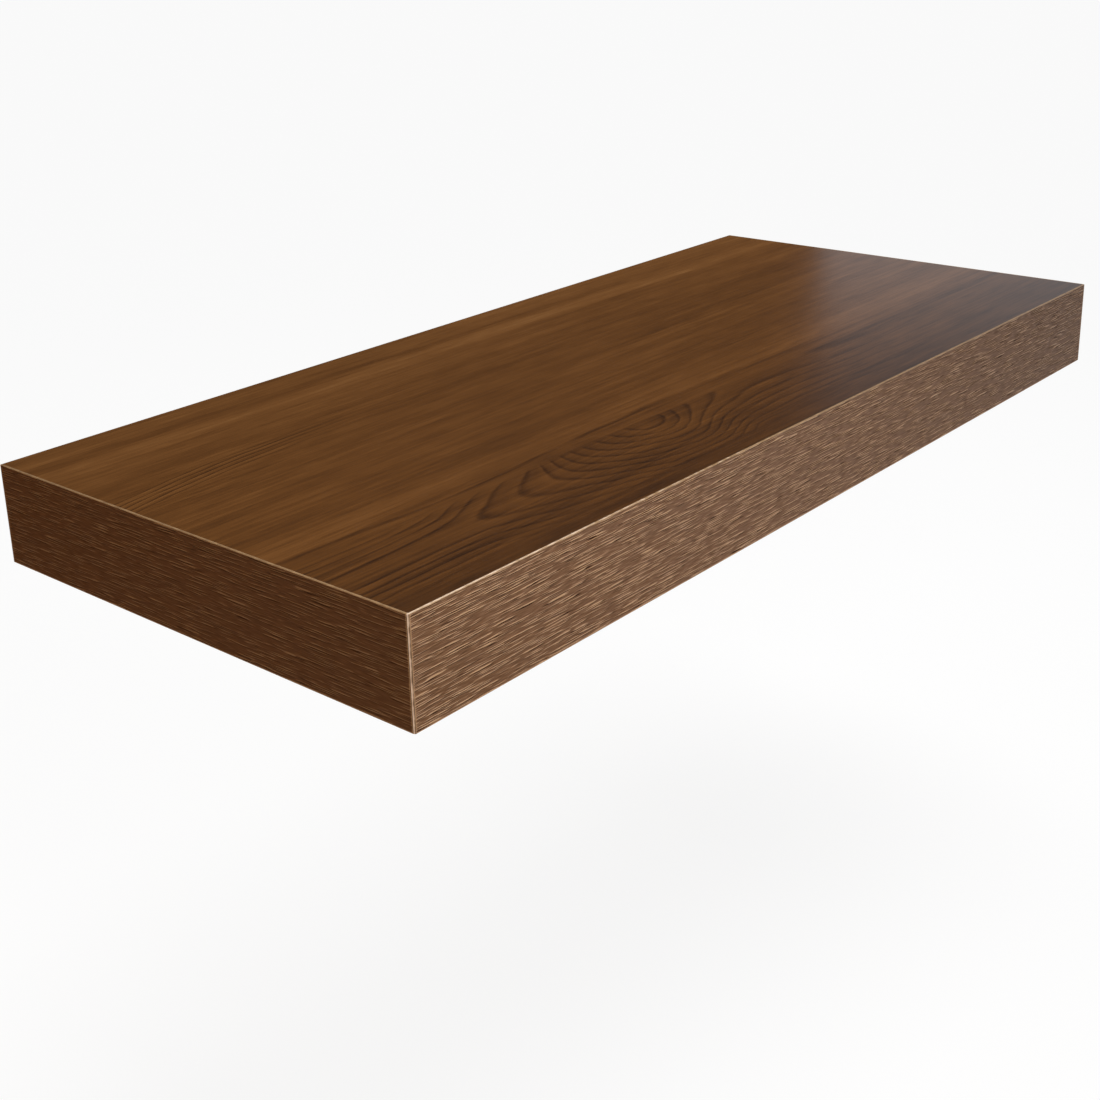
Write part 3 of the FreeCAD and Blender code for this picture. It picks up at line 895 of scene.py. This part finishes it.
def lamp(name, kind, place, aim, **settings):
    """A lamp at a place, turned to face a point."""
    data = bpy.data.lights.new(name, kind)
    for setting, value in settings.items():
        setattr(data, setting, value)
    made = bpy.data.objects.new(name, data)
    made.location = place
    made.rotation_euler = (Vector(place) - Vector(aim)).to_track_quat("Z", "Y").to_euler()
    bpy.context.scene.collection.objects.link(made)
    return made


overhead_level = 0.52
overhead_softness = math.radians(40)
lamp(
    "overhead_lamp", "SUN", place=(0.2, -0.08, 0.8), aim=(0, 0, 0),
    energy=overhead_level * math.pi, angle=overhead_softness,
)
lamp("front_lamp", "AREA", place=(-0.36, -0.75, 0.42), aim=(-0.24, -0.27, 0), energy=3.3, size=0.25)
back = lamp("back_lamp", "AREA", place=(0.42, 0.2, 0.575), aim=(0.2, -0.05, 0), energy=2.0, size=0.4)
back.visible_glossy = False
fill = lamp("left_fill", "AREA", place=(-1.2, -0.05, 0.1), aim=(-0.305, -0.135, 0), energy=1.6, size=0.4)
fill.data.color = linear("#ffd090")[:3]
fill.visible_glossy = False


# Studio drapes
# Dark drapes round the shelf, with a pale window at the right, a white panel in front, a flag at the left
# and a card on the floor. They show only in reflections, so the top stays brown and shines where it mirrors
# the window.

drape_radius = 0.62
drape_low, drape_high = 0.03, 3.0
drape_steps = 64
window_radius = 0.60
window_low, window_high = 0.03, 0.32
window_full_height = 0.10
window_glow = 0.6
strip_radius = 0.59
strip_low, strip_high = -0.12, 0.25
flag_x = -0.62
flag_front, flag_back = -0.5, 1.0
flag_bright_y, flag_dark_y = 0.0, 0.45
flag_most_glow = 0.26
card_low, card_high = (-4.0, -4.0), (6.0, 4.0)
card_lift = 1 * MM
card_dark_x, card_pale_x = -1.0, 1.5


def reflected_only(piece):
    """Keeps a stage piece out of sight, light and shadow, so that it shows only in reflections."""
    piece.visible_camera = False
    piece.visible_diffuse = False
    piece.visible_transmission = False
    piece.visible_shadow = False


def curtain(name, radius, low, high, start, end, material):
    """Part of an upright cylinder round the origin, between two azimuths in degrees from +X."""
    points, faces = [], []
    for step in range(drape_steps + 1):
        turn = math.radians(start + (end - start) * step / drape_steps)
        points += [(radius * math.cos(turn), radius * math.sin(turn), height) for height in (low, high)]
    for step in range(drape_steps):
        faces.append((2 * step, 2 * step + 1, 2 * step + 3, 2 * step + 2))
    reflected_only(mesh_piece(name, points, faces, [material]))


def glowing(name, colour="#ffffff"):
    """A stage material that takes no light and gives off one colour of its own."""
    material, tree, shader = new_material(name)
    shader.inputs["Base Color"].default_value = linear("#000000")
    shader.inputs["Specular IOR Level"].default_value = 0.0
    shader.inputs["Emission Color"].default_value = linear(colour)
    return material, tree, shader


drape, tree, shader = glowing("dark_drape", "#5a5048")
# Dark brown cloth, quite matt: a dim even surround, so the satin top mirrors little but brown.
shader.inputs["Roughness"].default_value = 1.0
shader.inputs["Emission Strength"].default_value = 0.2
curtain("drape_ring", drape_radius, drape_low, drape_high, start=0, end=360, material=drape)

window, tree, shader = glowing("pale_window", "#e0eefa")
# Daylight through a frosted pane, brightest low down: a soft cool sheen on the top towards the right.
place = add_node(tree, "TexCoord").outputs["Object"]
height = add_node(tree, "SeparateXYZ", {0: place}).outputs["Z"]
glow = add_node(
    tree, "MapRange",
    {
        "Value": height, "From Min": window_full_height, "From Max": window_high,
        "To Min": window_glow, "To Max": 0.0,
    },
    interpolation_type="SMOOTHSTEP",
)
connect(tree, shader, Emission_Strength=glow)
curtain("window_right", window_radius, window_low, window_high, start=-60, end=8.8, material=window)

strip, tree, shader = glowing("pale_strip")
# A white panel in front: a sheen on the ridges of the front band.
shader.inputs["Emission Strength"].default_value = 1.75
curtain("front_strip", strip_radius, strip_low, strip_high, start=-120, end=-60, material=strip)

flag_cloth, tree, shader = glowing("flag_cloth")
# Black cloth with a faint glow towards the front: it keeps the left end dark, and darker towards the wall.
place = add_node(tree, "TexCoord").outputs["Object"]
flag_y = add_node(tree, "SeparateXYZ", {0: place}).outputs["Y"]
flag_glow = add_node(
    tree, "MapRange",
    {
        "Value": flag_y, "From Min": flag_bright_y, "From Max": flag_dark_y,
        "To Min": flag_most_glow, "To Max": 0.0,
    },
)
connect(tree, shader, Emission_Strength=flag_glow)
flag_points = [
    (flag_x, flag_front, floor_low), (flag_x, flag_back, floor_low),
    (flag_x, flag_back, drape_low), (flag_x, flag_front, drape_low),
]
flag = mesh_piece("left_flag", flag_points, [(0, 1, 2, 3)], [flag_cloth])
reflected_only(flag)

card, tree, shader = glowing("floor_card")
# Painted board, dark under the left end and paler towards the right, as is the sheen on the front band.
place = add_node(tree, "TexCoord").outputs["Object"]
card_x = add_node(tree, "SeparateXYZ", {0: place}).outputs["X"]
card_share = add_node(tree, "MapRange", {"Value": card_x, "From Min": card_dark_x, "From Max": card_pale_x})
card_colour = add_node(
    tree, "ValToRGB", {0: card_share},
    stops=[(0.28, "#060504"), (0.44, "#8a8a8a"), (0.65, "#d8d8d8"), (0.96, "#e4e4e4")],
)
shader.inputs["Emission Strength"].default_value = 1.0
connect(tree, shader, Emission_Color=card_colour)
card_places = [card_low, (card_high[0], card_low[1]), card_high, (card_low[0], card_high[1])]
card_points = [(x, y, floor_low + card_lift) for x, y in card_places]
floor_card = mesh_piece("floor_card", card_points, [(0, 1, 2, 3)], [card])
reflected_only(floor_card)


# Camera
# A camera to the left of the shelf, in front of it and above, at the angle and distance of the photograph.
# The shift sets the frame without tilting the view.

camera_data = bpy.data.cameras.new("camera")
camera_data.sensor_width = 36.0
camera_data.lens = 52.879
camera_data.shift_x, camera_data.shift_y = 0.01909, -0.10171
camera = bpy.data.objects.new("camera", camera_data)
camera.location = (-0.67988, -0.66025, 0.2795)
camera.rotation_euler = [math.radians(turn) for turn in (70.8297, 1.6192, -49.3219)]
bpy.context.scene.collection.objects.link(camera)
bpy.context.scene.camera = camera
bpy.context.scene.view_settings.view_transform = "Standard"
